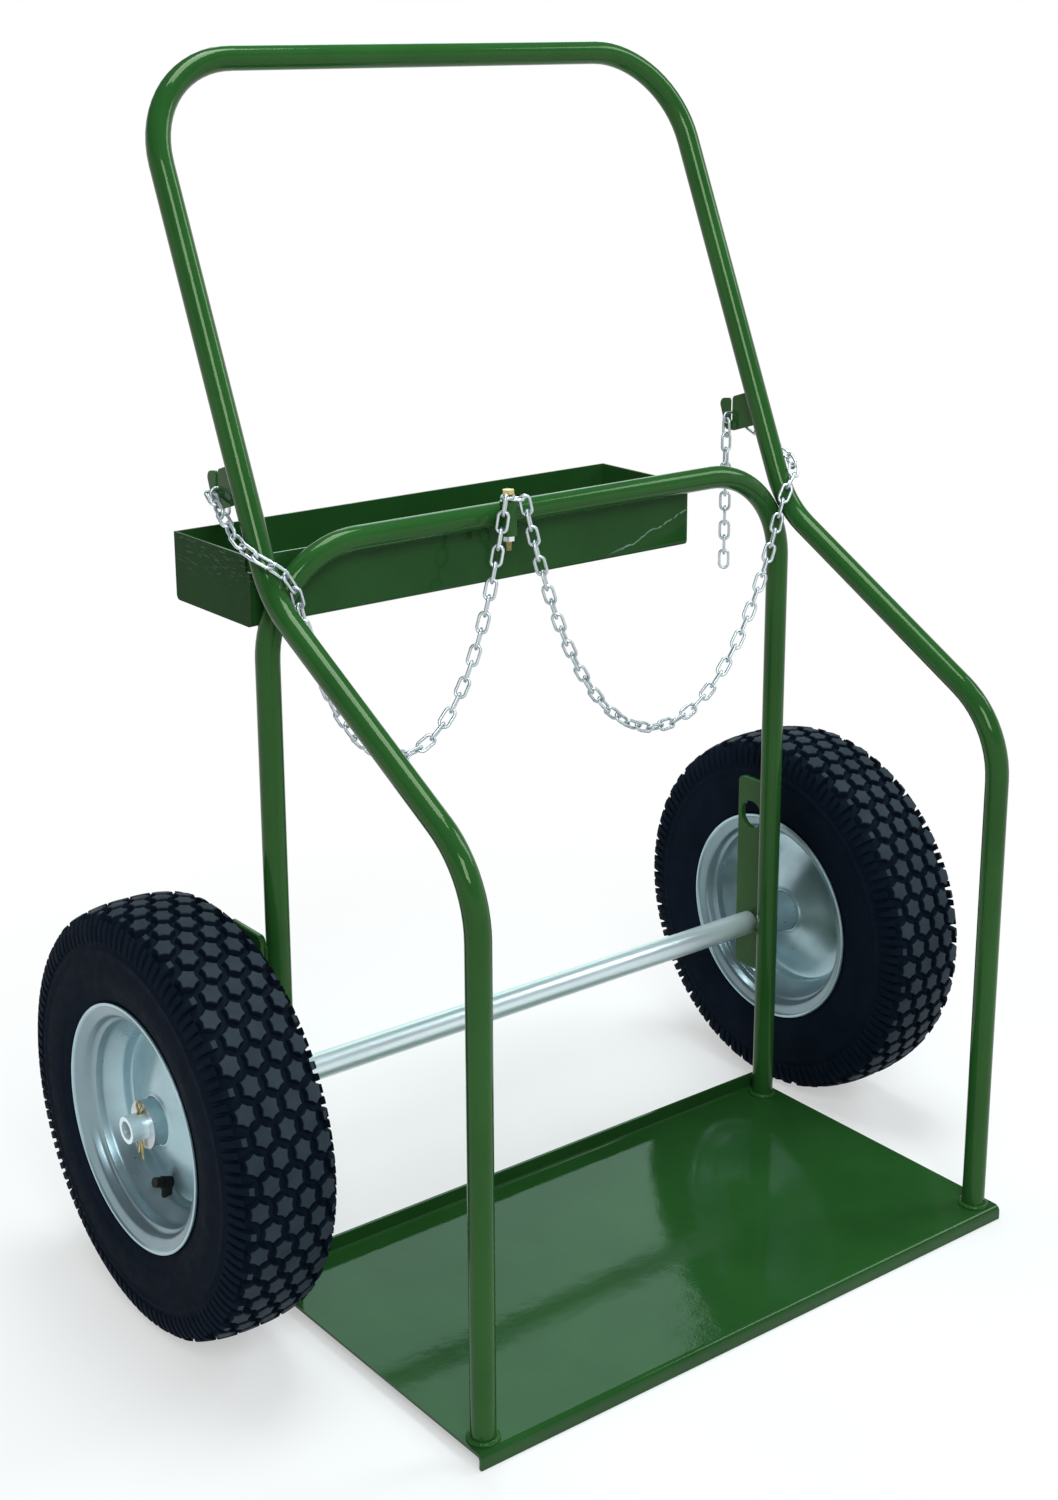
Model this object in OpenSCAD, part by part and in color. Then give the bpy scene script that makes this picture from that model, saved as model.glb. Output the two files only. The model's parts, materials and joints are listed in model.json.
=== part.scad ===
// Two-wheeled trolley for gas cylinders: a bent-tube frame on a folded base plate,
// pneumatic wheels on a through axle, a tool tray and two holding chains.
// +X is to the right, +Y to the wheels' side and +Z up; the ground is at z = 0.

/* [Frame tube] */
// Outside diameter of the frame tube
tube_od = 22.2; // [18:0.1:26]
// Wall of the frame tube
tube_wall = 2; // [1.5:0.1:3]
// Centreline radius of every bend in the frame tube
bend_r = 95; // [80:1:105]
// Distance between the centrelines of the two side tubes
frame_w = 610; // [580:1:640]
// Height of the lower knee of the side tubes
lower_knee_z = 514; // [480:1:530]
// Distance of the upper knee behind the front legs
upper_knee_back = 290; // [275:1:300]
// Height of the upper knee of the side tubes
upper_knee_z = 676; // [665:1:690]
// Distance of the handle bar behind the front legs
handle_back = 484; // [460:1:510]
// Height of the middle of the handle bar
handle_z = 1119; // [1050:1:1200]
// Height of the middle of the rear hoop's bar
hoop_z = 714; // [705:1:725]
// Gap left between pieces that a weld bead joins
weld_gap = 0.1; // [0.05:0.05:0.3]

/* [Base plate] */
// Distance of the plate's ends outboard of the side tubes' centrelines
plate_side = 17; // [12:1:30]
// Thickness of the plate's sheet
plate_t = 3; // [2:0.5:4]
// Height of the plate's upper face
plate_top = 14; // [11:1:20]
// Distance of the plate's front face ahead of the front legs
plate_front = 20; // [16:1:40]
// Distance of the plate's rear face behind the rear legs
plate_rear = 20; // [16:1:30]
// Height of the rear lip over the plate's upper face
rear_lip = 16; // [10:1:30]
// Outside radius of the plate's two folds
plate_fold_r = 6; // [5:0.5:8]

/* [Axle and brackets] */
// Distance of the axle behind the front legs
axle_back = 340; // [336:1:360]
// Outside diameter of the axle tube
axle_od = 25; // [20:0.5:30]
// Wall of the axle tube
axle_wall = 4; // [3:0.5:5]
// Length of the axle past the middle of each split pin
axle_end = 13.9; // [8:0.1:20]
// Thickness of the axle brackets
bracket_t = 6; // [4:0.5:8]
// Height of the brackets' upper edge
bracket_top = 365; // [350:1:400]
// Height of the brackets' lower edge
bracket_bottom = 148; // [130:1:170]
// Distance of the brackets' rear edge behind the axle
bracket_rear = 20; // [18:1:25]
// Radius of the brackets' corners
bracket_corner_r = 8; // [4:1:10]
// Diameter of the lifting hole in each bracket
lift_hole_d = 30; // [20:1:32]
// Distance of the lifting hole's middle below the brackets' upper edge
lift_hole_down = 40; // [25:1:60]
// Radial room between the axle and the holes that hold it
axle_fit = 0.05; // [0.02:0.01:0.1]
// Wire of the split pins
cotter_wire = 2.4; // [2:0.1:3]
// Gap between the two legs of a split pin
cotter_gap = 0.2; // [0.1:0.1:0.5]
// Radius of a split pin's eye
cotter_eye_r = 5; // [4:0.5:6]
// Length of each spread end of a split pin
cotter_splay = 7; // [4:1:10]
// Outside diameter of the wheel washers
washer_od = 44; // [40:1:50]
// Thickness of the wheel washers
washer_t = 3; // [2:0.5:4]

/* [Wheels] */
// Outside diameter of a tyre
tyre_od = 400; // [390:1:410]
// Width of a tyre
tyre_w = 102; // [98:1:106]
// Distance of a wheel's middle outboard of the side tube's centreline
wheel_out = 87; // [85:1:88]
// Diameter over the rim's flanges
flange_d = 230; // [226:1:234]
// Diameter of the rim's bead seat
seat_d = 203; // [200:1:206]
// Diameter of the rim's well
well_d = 172; // [166:1:176]
// Width over the rim's flanges
rim_w = 98; // [96:1:98]
// Thickness of the rim's sheet
rim_t = 3; // [2:0.5:3.5]
// Depth of the tread between its blocks
tread_depth = 6; // [3:1:8]
// Number of tread blocks in one row round the tyre
tread_blocks = 29; // [24:1:29]
// Wall of the tyre at its crown
tyre_wall = 9; // [7:1:11]
// Wall of the inner tube
inner_tube_wall = 2.5; // [2:0.5:4]
// Outside diameter of the hub barrel
hub_od = 43; // [42:0.5:48]
// Distance from the wheel's middle to the outer end of the hub
hub_out = 33; // [30:1:34]
// Diameter of the bearing rollers
roller_d = 5; // [4.5:0.25:5.5]
// Length of the bearing rollers
roller_len = 26; // [18:1:28]
// Number of rollers in one bearing
roller_count = 10; // [8:1:11]
// Radial running room of the rollers
roller_fit = 0.05; // [0.03:0.01:0.1]
// Diameter of the valve stem
valve_d = 10; // [8:0.5:11]
// Diameter of the valve's head
valve_head_d = 11.5; // [10.5:0.5:12]
// Diameter of the valve cap
valve_cap_d = 9.5; // [8:0.5:10]
// Distance of the valve outboard of the wheel's middle
valve_out = 10; // [9:0.5:12]
// Turn of the valve from straight down
valve_turn = 8; // [0:1:360]
// Gap between soft or pressed pieces that bear on each other
seat_gap = 0.3; // [0.2:0.05:0.5]

/* [Tool tray] */
// Length of the tray
tray_len = 503; // [450:1:520]
// Distance of the tray's left end outboard of the left side tube's centreline
tray_left = 8; // [4:1:10]
// Depth of the tray from front to rear
tray_depth = 130; // [110:1:150]
// Height of the tray's walls
tray_h = 63; // [50:1:70]
// Distance of the tray's rim below the middle of the hoop bar
tray_drop = 4; // [2:1:8]
// Thickness of the tray's sheet
tray_t = 2; // [1.5:0.5:3]
// Outside radius of the tray's folds
tray_fold_r = 5; // [4:0.5:8]
// Room between the tray's corner notch and the tube
notch_room = 1; // [0.5:0.5:3]

/* [Chains] */
// Diameter of the chain's wire
wire = 3; // [2.5:0.1:3.2]
// Inside length of a link
link_len = 16; // [15:0.5:18]
// Inside width of a link
link_w = 6.4; // [6.4:0.1:7]
// Play between neighbouring links
play = 0.5; // [0.4:0.05:0.6]
// Number of links in the hanging part of the right chain
right_loop_links = 39; // [34:1:46]
// Number of links in the hanging part of the left chain
left_loop_links = 31; // [28:1:36]
// Number of links round each side tube
wrap_links = 9; // [8:1:9]
// Number of links in the free tail of the right chain
tail_links = 10; // [4:1:10]
// Distance of the chain bolt from the middle, to the right
bolt_x = -57; // [-80:1:0]
// Diameter of the chain bolt
bolt_d = 6; // [5:0.5:6]
// Width across the flats of the bolt's head and nut
bolt_flats = 10; // [9:0.5:11]
// Height of the bolt's head
bolt_head = 4; // [3:0.5:5]
// Height of the nut
nut_h = 5; // [4:0.5:6]
// Length of the bolt's thread below the nut
bolt_tail = 9; // [4:1:12]
// Outside diameter of the sleeve that holds the chain bolt
sleeve_od = 16; // [14:0.5:18]
// Length of the sleeve
sleeve_len = 32; // [28:1:40]
// Radial room of the bolt in its sleeve
sleeve_fit = 0.3; // [0.2:0.05:0.5]
// Turn of the chains' end links from straight ahead
anchor_turn = 45; // [40:1:50]
// Thickness of the chain tabs
tab_t = 3; // [2:0.5:3]
// Distance of the tabs' slots behind the front legs
slot_back = 372; // [368:1:380]
// Height of the chain link seated in a tab
slot_z = 755; // [750:1:760]
// Distance of the tabs' rear edge behind the slot
tab_rear = 17; // [10:1:25]
// Distance of the tabs' upper edge above the seated link
tab_up = 25; // [18:1:30]
// Distance of the tabs' lower edge below the seated link
tab_down = 14; // [12:1:14]
// Room between a seated link and the slot's sides
slot_room = 0.5; // [0.3:0.1:1]

/* [Hidden] */
$fn = 64;

// Colours as they show on the trolley
enamel = [0.17, 0.43, 0.18];
zinc = [0.80, 0.83, 0.85];
yellow_zinc = [0.80, 0.70, 0.36];
silver_paint = [0.74, 0.77, 0.78];
black_rubber = [0.09, 0.09, 0.10];
dark_steel = [0.22, 0.23, 0.25];

// Places that follow from the sizes, with the origin midway between the plate's front and the tyres' rear
tube_r = tube_od / 2;
leg_x = frame_w / 2;
plate_w = frame_w + 2 * plate_side;
wheel_x = leg_x + wheel_out;
leg_y = plate_front - (plate_front + axle_back + tyre_od / 2) / 2;
axle_y = leg_y + axle_back;
axle_z = tyre_od / 2;
lower_knee = [leg_y, lower_knee_z];
upper_knee = [leg_y + upper_knee_back, upper_knee_z];
handle_bar = [leg_y + handle_back, handle_z];

// Angles of the side tube above the horizontal, and the lengths that each bend takes from its legs
slope_lower = atan2(upper_knee.y - lower_knee.y, upper_knee.x - lower_knee.x);
slope_upper = atan2(handle_bar.y - upper_knee.y, handle_bar.x - upper_knee.x);
bend_lower = 90 - slope_lower;
bend_upper = slope_upper - slope_lower;
take_lower = bend_r * tan(bend_lower / 2);
take_upper = bend_r * tan(bend_upper / 2);
bend_centre = upper_knee
    - take_upper * [cos(slope_lower), sin(slope_lower)]
    + bend_r * [-sin(slope_lower), cos(slope_lower)];

// Vector helpers
function unit(v) = v / norm(v);
function square_to(v, d) = unit(v - (v * d) * d);
function turned(v, axis, angle) = v * cos(angle) + cross(axis, v) * sin(angle);
function sinh_of(x) = (exp(x) - exp(-x)) / 2;
function cosh_of(x) = (exp(x) + exp(-x)) / 2;
function asinh_of(x) = ln(x + sqrt(x * x + 1));

// Distance from a point [x, y, z] to the right side tube's centreline near its upper knee
function to_line(q, p, slope) =
    let (d = [cos(slope), sin(slope)], along = (q - p) * d)
    norm(q - p - along * d);
function to_side_tube(p) =
    let (q = [p.y, p.z],
         heading = atan2(q.y - bend_centre.y, q.x - bend_centre.x) + 90,
         flat = heading < slope_lower ? to_line(q, upper_knee, slope_lower)
              : heading > slope_upper ? to_line(q, upper_knee, slope_upper)
              : abs(norm(q - bend_centre) - bend_r))
    norm([p.x - leg_x, flat]);

// The rear hoop stands where its corner just clears the side tube's upper bend
function hoop_room(y) = min([for (a = [0:1:90])
    to_side_tube([leg_x - bend_r * (1 - cos(a)), y, hoop_z - bend_r * (1 - sin(a))])]);
function hoop_place(near, far, n) =
    let (mid = (near + far) / 2)
    n == 0 ? mid
    : hoop_room(mid) < tube_od + weld_gap ? hoop_place(mid, far, n - 1)
    : hoop_place(near, mid, n - 1);
hoop_search = bend_r / 2;
hoop_y = hoop_place(upper_knee.x - hoop_search, upper_knee.x + hoop_search, 24);

// Sheet and tube modules

// A bend swells by a hair, and the straights beside it reach a little way in
bend_swell = 0.1;
bend_lap = 0.2;

// Bent round stock: each step is [straight length, bend angle, roll before the bend, bend radius]
module bent_stock(steps, od, wall, i = 0) {
    if (i < len(steps)) {
        length = steps[i][0];
        angle = steps[i][1];
        radius = steps[i][3];
        before = i > 0 ? bend_lap : 0;
        after = angle > 0 ? bend_lap : 0;
        translate([0, 0, -before]) linear_extrude(before + length + after) stock_ring(od, wall);
        translate([0, 0, length]) rotate([0, 0, steps[i][2]]) {
            if (angle > 0) {
                translate([radius, 0, 0]) rotate([90, 0, 0])
                    rotate_extrude(angle = angle, start = 180 - angle)
                        translate([radius, 0]) stock_ring(od + bend_swell, wall > 0 ? wall + bend_swell : 0);
            }
            translate([radius, 0, 0]) rotate([0, angle, 0]) translate([-radius, 0, 0])
                bent_stock(steps, od, wall, i + 1);
        }
    }
}

module stock_ring(od, wall) {
    difference() {
        circle(d = od);
        if (wall > 0) circle(d = od - 2 * wall);
    }
}

// Extrudes an outline drawn in [y, z] along X, centred on x
module across(x, width) {
    translate([x - width / 2, 0, 0]) rotate([90, 0, 90]) linear_extrude(width) children();
}

// Rectangle from the origin whose lower two corners are round
module round_bottom(w, h, r) {
    translate([0, r]) square([w, h - r]);
    translate([r, 0]) square([w - 2 * r, h]);
    for (x = [r, w - r]) translate([x, r]) circle(r);
}

// Rectangle from the origin with four round corners
module round_plate(w, h, r) {
    translate([0, r]) square([w, h - 2 * r]);
    translate([r, 0]) square([w - 2 * r, h]);
    for (x = [r, w - r], y = [r, h - r]) translate([x, y]) circle(r);
}

// Frame

module handle_frame() {
    upper_len = norm(handle_bar - upper_knee) - take_upper - bend_r;
    middle_len = norm(upper_knee - lower_knee) - take_upper - take_lower;
    foot_len = lower_knee.y - plate_top - take_lower;
    steps = [
        [foot_len, bend_lower, 90, bend_r],
        [middle_len, bend_upper, 180, bend_r],
        [upper_len, 90, 90, bend_r],
        [frame_w - 2 * bend_r, 90, 0, bend_r],
        [upper_len, bend_upper, -90, bend_r],
        [middle_len, bend_lower, 180, bend_r],
        [foot_len, 0, 0, bend_r]
    ];
    color(enamel) translate([-leg_x, leg_y, plate_top]) bent_stock(steps, tube_od, tube_wall);
}

module rear_hoop() {
    leg_len = hoop_z - plate_top - bend_r;
    steps = [
        [leg_len, 90, 0, bend_r],
        [frame_w - 2 * bend_r, 90, 0, bend_r],
        [leg_len, 0, 0, bend_r]
    ];
    color(enamel) translate([-leg_x, hoop_y, plate_top]) bent_stock(steps, tube_od, tube_wall);
}

// The front edge folds down to the ground and the rear edge folds up
module base_plate() {
    front = leg_y - plate_front;
    rear = hoop_y + plate_rear;
    depth = rear - front;
    under = plate_top - plate_t;
    corner_w = 3 * plate_fold_r;
    color(enamel) across(0, plate_w) {
        difference() {
            translate([front, plate_top]) mirror([0, 1])
                round_bottom(corner_w, plate_top, plate_fold_r);
            translate([front + plate_t, under]) mirror([0, 1])
                round_bottom(corner_w, plate_top, plate_fold_r - plate_t);
            translate([front + plate_fold_r, 0]) square([corner_w, plate_top]);
        }
        translate([front + plate_fold_r, under]) square([depth - 2 * plate_fold_r, plate_t]);
        difference() {
            translate([rear - corner_w, under])
                round_bottom(corner_w, rear_lip + plate_t, plate_fold_r);
            translate([rear - plate_t - corner_w, plate_top])
                round_bottom(corner_w, 2 * rear_lip, plate_fold_r - plate_t);
            translate([rear - plate_fold_r - corner_w, under])
                square([corner_w, rear_lip + 2 * plate_t]);
        }
    }
}

// Tool tray, welded behind the hoop bar

tray_x = -leg_x - tray_left;
tray_y = hoop_y + tube_r + weld_gap;
tray_top = hoop_z - tray_drop;

// Outside of the tray in [y, z], grown inward by t
module tray_outline(t) {
    translate([tray_y + t, tray_top - tray_h + t])
        round_bottom(tray_depth - 2 * t, tray_h, tray_fold_r - t);
}

// Room for the left side tube at the tray's front corner
module tray_notch() {
    rear_reach = (tray_top - upper_knee.y) / tan(slope_upper) + tube_r / sin(slope_upper);
    depth = upper_knee.x + rear_reach + notch_room - tray_y;
    run = tray_y - bend_centre.x;
    bottom = bend_centre.y - sqrt(pow(bend_r + tube_r, 2) - run * run) - notch_room;
    width = tray_left + tube_r + notch_room;
    translate([tray_x - width, tray_y - depth, bottom])
        cube([2 * width, 2 * depth, tray_h]);
}

module tool_tray() {
    color(enamel) difference() {
        across(tray_x + tray_len / 2, tray_len - 2 * tray_t) difference() {
            tray_outline(0);
            tray_outline(tray_t);
        }
        tray_notch();
        translate([tray_x, tray_y, tray_top]) cube([tray_len, tray_depth, tray_h]);
    }
}

module tray_end(x) {
    color(enamel) difference() {
        across(x, tray_t) tray_outline(0);
        tray_notch();
        translate([tray_x, tray_y, tray_top]) cube([tray_len, tray_depth, tray_h]);
    }
}

module tray_end_left() {
    tray_end(tray_x + tray_t / 2);
}

module tray_end_right() {
    tray_end(tray_x + tray_len - tray_t / 2);
}

// Axle and what holds it

bracket_in = leg_x + tube_r + weld_gap;
bracket_out = bracket_in + bracket_t;
hub_in = bracket_out + seat_gap - wheel_x;
washer_x = wheel_x + hub_out + seat_gap;
cotter_d = 2 * cotter_wire + cotter_gap;
cotter_x = washer_x + washer_t + seat_gap + cotter_d / 2;
axle_len = 2 * (cotter_x + axle_end);

module axle() {
    color(zinc) difference() {
        translate([0, axle_y, axle_z]) rotate([90, 0, 90])
            linear_extrude(axle_len, center = true) stock_ring(axle_od, axle_wall);
        for (x = [-cotter_x, cotter_x]) translate([x, axle_y, 0])
            cylinder(d = cotter_d + 2 * cotter_gap, h = 2 * axle_z);
    }
}

module axle_bracket(side) {
    front = hoop_y - tube_r;
    depth = axle_y + bracket_rear - front;
    color(enamel) across(side * (bracket_in + bracket_t / 2), bracket_t) difference() {
        translate([front, bracket_bottom])
            round_plate(depth, bracket_top - bracket_bottom, bracket_corner_r);
        translate([axle_y, axle_z]) circle(d = axle_od + 2 * axle_fit);
        translate([axle_y, bracket_top - lift_hole_down]) circle(d = lift_hole_d);
    }
}

module wheel_washer(side) {
    color(zinc) translate([side * (washer_x + washer_t / 2), axle_y, axle_z]) rotate([0, 90, 0])
        linear_extrude(washer_t, center = true) difference() {
            circle(d = washer_od);
            circle(d = axle_od + 2 * axle_fit);
        }
}

// One wire: spread end, leg, eye, leg, spread end
module cotter_pin(side) {
    reach = (cotter_wire + cotter_gap) / 2;
    knuckle = cotter_wire + bend_swell;
    open = asin(reach / cotter_eye_r);
    spread = 60;
    end = axle_od / 2 + cotter_wire;
    color(yellow_zinc) translate([side * cotter_x, axle_y, axle_z]) {
        translate([0, 0, end + cotter_eye_r * cos(open)]) rotate([90, 0, 90])
            rotate_extrude(angle = 360 - 2 * open, start = open - 90)
                translate([cotter_eye_r, 0]) circle(d = cotter_wire);
        for (leg = [-1, 1]) translate([0, leg * reach, 0]) {
            cylinder(d = cotter_wire, h = 2 * end, center = true);
            for (z = [-end, end]) translate([0, 0, z]) sphere(d = knuckle);
            translate([0, 0, -end]) rotate([180 + leg * spread, 0, 0]) cylinder(d = cotter_wire, h = cotter_splay);
        }
    }
}

// Wheels: everything below is drawn round the X axis with the outboard side at +X

module at_wheel(side) {
    translate([side * wheel_x, axle_y, axle_z]) mirror([side < 0 ? 1 : 0, 0, 0]) children();
}

// Revolves an outline drawn in [radius, x] about the X axis
module revolved() {
    rotate([0, 90, 0]) rotate_extrude() children();
}

seat_r = seat_d / 2;
well_r = well_d / 2;
flange_r = flange_d / 2;
rim_half = rim_w / 2;
hub_r = hub_od / 2;

// Half of the rim's section as [radius, x] pairs: its tyre side from the flange to the well,
// its dished side from the hub to the flange, and the space between its two sheets at the hub
web_rise = 17;
web_land = 8;
web_slope = web_rise - rim_t;
web_edge = 10;
seat_fall = 2;
seat_run = 26;
well_fall = 4;
flange_curl = 4;
web_lift = 1;
edge_r = 1.2;
rim_tyre_side = [
    [flange_r, rim_half - edge_r],
    [flange_r, rim_half - rim_t],
    [seat_r, rim_half - rim_t],
    [seat_r - seat_fall, rim_half - seat_run],
    [well_r, rim_half - seat_run - well_fall]
];
flange_face = [for (a = [0:30:90])
    [seat_r - rim_t + flange_curl * (1 - cos(a)), rim_half - flange_curl + flange_curl * sin(a)]];
rim_dish_side = concat(
    [
        [hub_r + axle_fit, web_rise],
        [hub_r + web_land, web_rise],
        [hub_r + web_land + web_slope, rim_t],
        [well_r - rim_t - web_edge - well_fall, rim_t],
        [well_r - rim_t - web_edge, rim_t + web_lift],
        [well_r - rim_t, rim_t + web_lift],
        [well_r - rim_t, rim_half - seat_run - well_fall - seat_fall / 2],
        [seat_r - seat_fall - rim_t, rim_half - seat_run - seat_fall / 2]
    ],
    flange_face,
    [[flange_r - edge_r, rim_half]]
);
web_space = [
    [hub_r + web_land + web_slope, 0],
    [hub_r + web_land, web_rise - rim_t],
    [hub_r + axle_fit, web_rise - rim_t]
];
function far_side(line) = [for (p = line) [p.x, -p.y]];
function backwards(line) = [for (i = [len(line) - 1:-1:0]) line[i]];

module rim_section() {
    polygon(concat(
        rim_tyre_side,
        backwards(far_side(rim_tyre_side)),
        backwards(far_side(rim_dish_side)),
        far_side([web_space[2], web_space[1]]),
        web_space,
        rim_dish_side
    ));
}

module rim(side) {
    color(silver_paint) at_wheel(side) difference() {
        revolved() rim_section();
        valve_axis() translate([0, 0, well_r - 2 * rim_t])
            cylinder(d = valve_d + 2 * seat_gap, h = 3 * rim_t);
    }
}

// Tyre: a ring of sections whose tread points rise and fall in staggered blocks

crown_r = tyre_od / 2;
shoulder_w = 9;
tread_half = tyre_w / 2 - shoulder_w;
tread_rows = 7;
row_pitch = 2 * tread_half / tread_rows;
block_land = 0.3;
bead_r = seat_r + seat_gap;
bead_x = rim_half - rim_t - seat_gap;
crown_drop = 5;

// Profile columns as [x, radius, row]: row -1 never rises, other rows rise by turns
function off_crown(x) = max(0, abs(x) - row_pitch / 2) / (tread_half - row_pitch / 2);
function tread_column(x, row) = [x, crown_r - crown_drop * pow(off_crown(x), 2), row];
tread_line = [for (row = [0:tread_rows - 1], edge = [block_land / 2, 1 - block_land / 2])
    tread_column(-tread_half + (row + edge) * row_pitch, row)];
shoulder_drop = 14;
shoulder_r = crown_r - shoulder_drop;
side_drop = 48;
side_r = crown_r - side_drop;
side_in = 3;
bead_w = 12;
wall_out = [
    [tyre_w / 2 - side_in, shoulder_r, tread_rows],
    [tyre_w / 2, side_r, -1],
    [tyre_w / 2 - side_in, flange_r + tyre_wall, -1],
    [bead_x, flange_r + seat_gap, -1],
    [bead_x, bead_r, -1],
    [bead_x - bead_w, bead_r, -1],
    [bead_x - tyre_wall, flange_r + tyre_wall / 2, -1],
    [tyre_w / 2 - tyre_wall + side_in, side_r, -1],
    [tyre_w / 4, crown_r - tread_depth - tyre_wall, -1]
];
tyre_line = concat(
    tread_line,
    wall_out,
    [for (i = [len(wall_out) - 1:-1:0]) [-wall_out[i][0], wall_out[i][1], wall_out[i][2]]]
);
tread_steps = 4 * tread_blocks;

// A column stands at block height in half of its steps, and neighbouring rows take turns
function tread_high(row, step) = row >= 0 && floor(step / 2) % 2 == row % 2;
function tyre_radius(column, step) =
    column[2] < 0 || tread_high(column[2], step) ? column[1] : column[1] - tread_depth;
tyre_points = [for (step = [0:tread_steps - 1], column = tyre_line)
    let (a = 360 * step / tread_steps, r = tyre_radius(column, step))
    [column[0], r * cos(a), r * sin(a)]];
tyre_faces = [for (step = [0:tread_steps - 1], j = [0:len(tyre_line) - 1])
    let (n = len(tyre_line),
         a = step * n + j,
         b = step * n + (j + 1) % n,
         c = ((step + 1) % tread_steps) * n + (j + 1) % n,
         d = ((step + 1) % tread_steps) * n + j)
    each [[a, c, b], [a, d, c]]];

module tyre(side) {
    color(black_rubber) at_wheel(side) polyhedron(tyre_points, tyre_faces);
}

// The inner tube fills the space under the tyre's crown
inner_space = 2;
inner_top = crown_r - tread_depth - tyre_wall - 2 * seat_gap - inner_space;
inner_bottom = seat_r + inner_space;
inner_r = (inner_top - inner_bottom) / 2;
inner_mid = (inner_top + inner_bottom) / 2;
inner_half = min(inner_r, tyre_w / 2 - tyre_wall - 3 * inner_space);

module inner_tube(side) {
    color(black_rubber) at_wheel(side) revolved() translate([inner_mid, 0])
        stock_ring(2 * inner_half, inner_tube_wall);
}

// Valve through the rim's well, pointing at the axle

module valve_axis() {
    rotate([valve_turn, 0, 0]) translate([valve_out, 0, 0]) rotate([180, 0, 0]) children();
}

stem_top = inner_mid - sqrt(pow(inner_half, 2) - pow(valve_out - valve_d / 2, 2)) - 1.5 * seat_gap;
head_r = well_r - rim_t - valve_head_d;
head_lean = 20;
head_back = 4;
head_front = 6;
cap_len = 8;

// The valve's head and cap lie along the axle and lean a little towards it
module along_head() {
    valve_axis() translate([0, 0, head_r]) rotate([0, 90 + head_lean, 0]) children();
}

module valve_stem(side) {
    color(black_rubber) at_wheel(side) {
        valve_axis() translate([0, 0, head_r]) cylinder(d = valve_d, h = stem_top - head_r);
        along_head() translate([0, 0, -head_back]) cylinder(d = valve_head_d, h = head_back + head_front);
    }
}

module valve_cap(side) {
    color(black_rubber) at_wheel(side) along_head() translate([0, 0, head_front])
        cylinder(d = valve_cap_d, h = cap_len);
}

// Hub with a caged roller bearing at each end

bore_r = axle_od / 2 + roller_d + 2 * roller_fit;
roller_ring = axle_od / 2 + roller_d / 2 + roller_fit;
cage_wall = 1.2;
cage_rim = 3;
cage_inset = 1;
cage_len = roller_len + 2 * seat_gap + 2 * cage_rim;
cage_x = [hub_in + cage_len / 2 + cage_inset, hub_out - cage_len / 2 - cage_inset];

module hub(side) {
    color(silver_paint) at_wheel(side) translate([hub_in, 0, 0]) rotate([0, 90, 0])
        linear_extrude(hub_out - hub_in) difference() {
            circle(hub_r);
            circle(bore_r);
        }
}

// Repeats its children round the axle at each roller of both bearings
module at_rollers() {
    for (x = cage_x, i = [0:roller_count - 1])
        translate([x, 0, 0]) rotate([360 * i / roller_count, 0, 0]) translate([0, roller_ring, 0])
            rotate([0, 90, 0]) children();
}

module rollers(side) {
    color(zinc) at_wheel(side) at_rollers() cylinder(d = roller_d, h = roller_len, center = true);
}

module roller_cages(side) {
    outside = 2 * roller_ring + roller_d - 2 * cage_wall / 2;
    color(black_rubber) at_wheel(side) difference() {
        for (x = cage_x) translate([x, 0, 0]) rotate([0, 90, 0])
            linear_extrude(cage_len, center = true)
                stock_ring(outside, roller_d - cage_wall);
        at_rollers() cylinder(d = roller_d + seat_gap, h = roller_len + 2 * seat_gap, center = true);
    }
}

// Chains

link_r = (link_w + wire) / 2;
link_leg = link_len + wire - 2 * link_r;
link_span = link_len + wire;
pitch = link_len - play;
hook = wire + play;

// One link in the XY plane, its length along X
module chain_link() {
    for (end = [0, 180]) rotate([0, 0, end]) translate([link_leg / 2, 0, 0])
        rotate_extrude(angle = 180, start = -90) translate([link_r, 0]) circle(d = wire);
    for (y = [-link_r, link_r]) translate([0, y, 0]) rotate([0, 90, 0])
        cylinder(d = wire, h = link_leg, center = true);
}

// A link at a middle point, with its length along d and its plane square to n
module placed_link(middle, d, n) {
    y = cross(n, d);
    multmatrix([
        [d.x, y.x, n.x, middle.x],
        [d.y, y.y, n.y, middle.y],
        [d.z, y.z, n.z, middle.z]
    ]) chain_link();
}

// Direction in which the chain passes joint i
function heading(joints, i) = unit(
    (i > 0 ? unit(joints[i] - joints[i - 1]) : [0, 0, 0])
    + (i < len(joints) - 1 ? unit(joints[i + 1] - joints[i]) : [0, 0, 0]));

// Links from one joint to another; refs and rolls set the plane of each link
module chain_run(joints, refs, rolls, first, last) {
    for (i = [first:last - 1]) {
        a = joints[i] - hook / 2 * heading(joints, i);
        b = joints[i + 1] + hook / 2 * heading(joints, i + 1);
        d = unit(b - a);
        placed_link((a + b) / 2, d, turned(square_to(refs[i], d), d, rolls[i]));
    }
}

// Next point at distance d from p along a path, and the march of such points
function stride(path, p, j, d) =
    norm(path[j + 1] - p) < d ? stride(path, p, j + 1, d)
    : let (u = path[j + 1] - path[j], w = path[j] - p,
           a = u * u, b = 2 * (u * w), c = w * w - d * d)
      [path[j] + u * (-b + sqrt(b * b - 4 * a * c)) / (2 * a), j];
function march(path, p, j, d, n) =
    n == 0 ? [p]
    : let (s = stride(path, p, j, d)) concat([p], march(path, s[0], s[1], d, n - 1));

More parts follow.
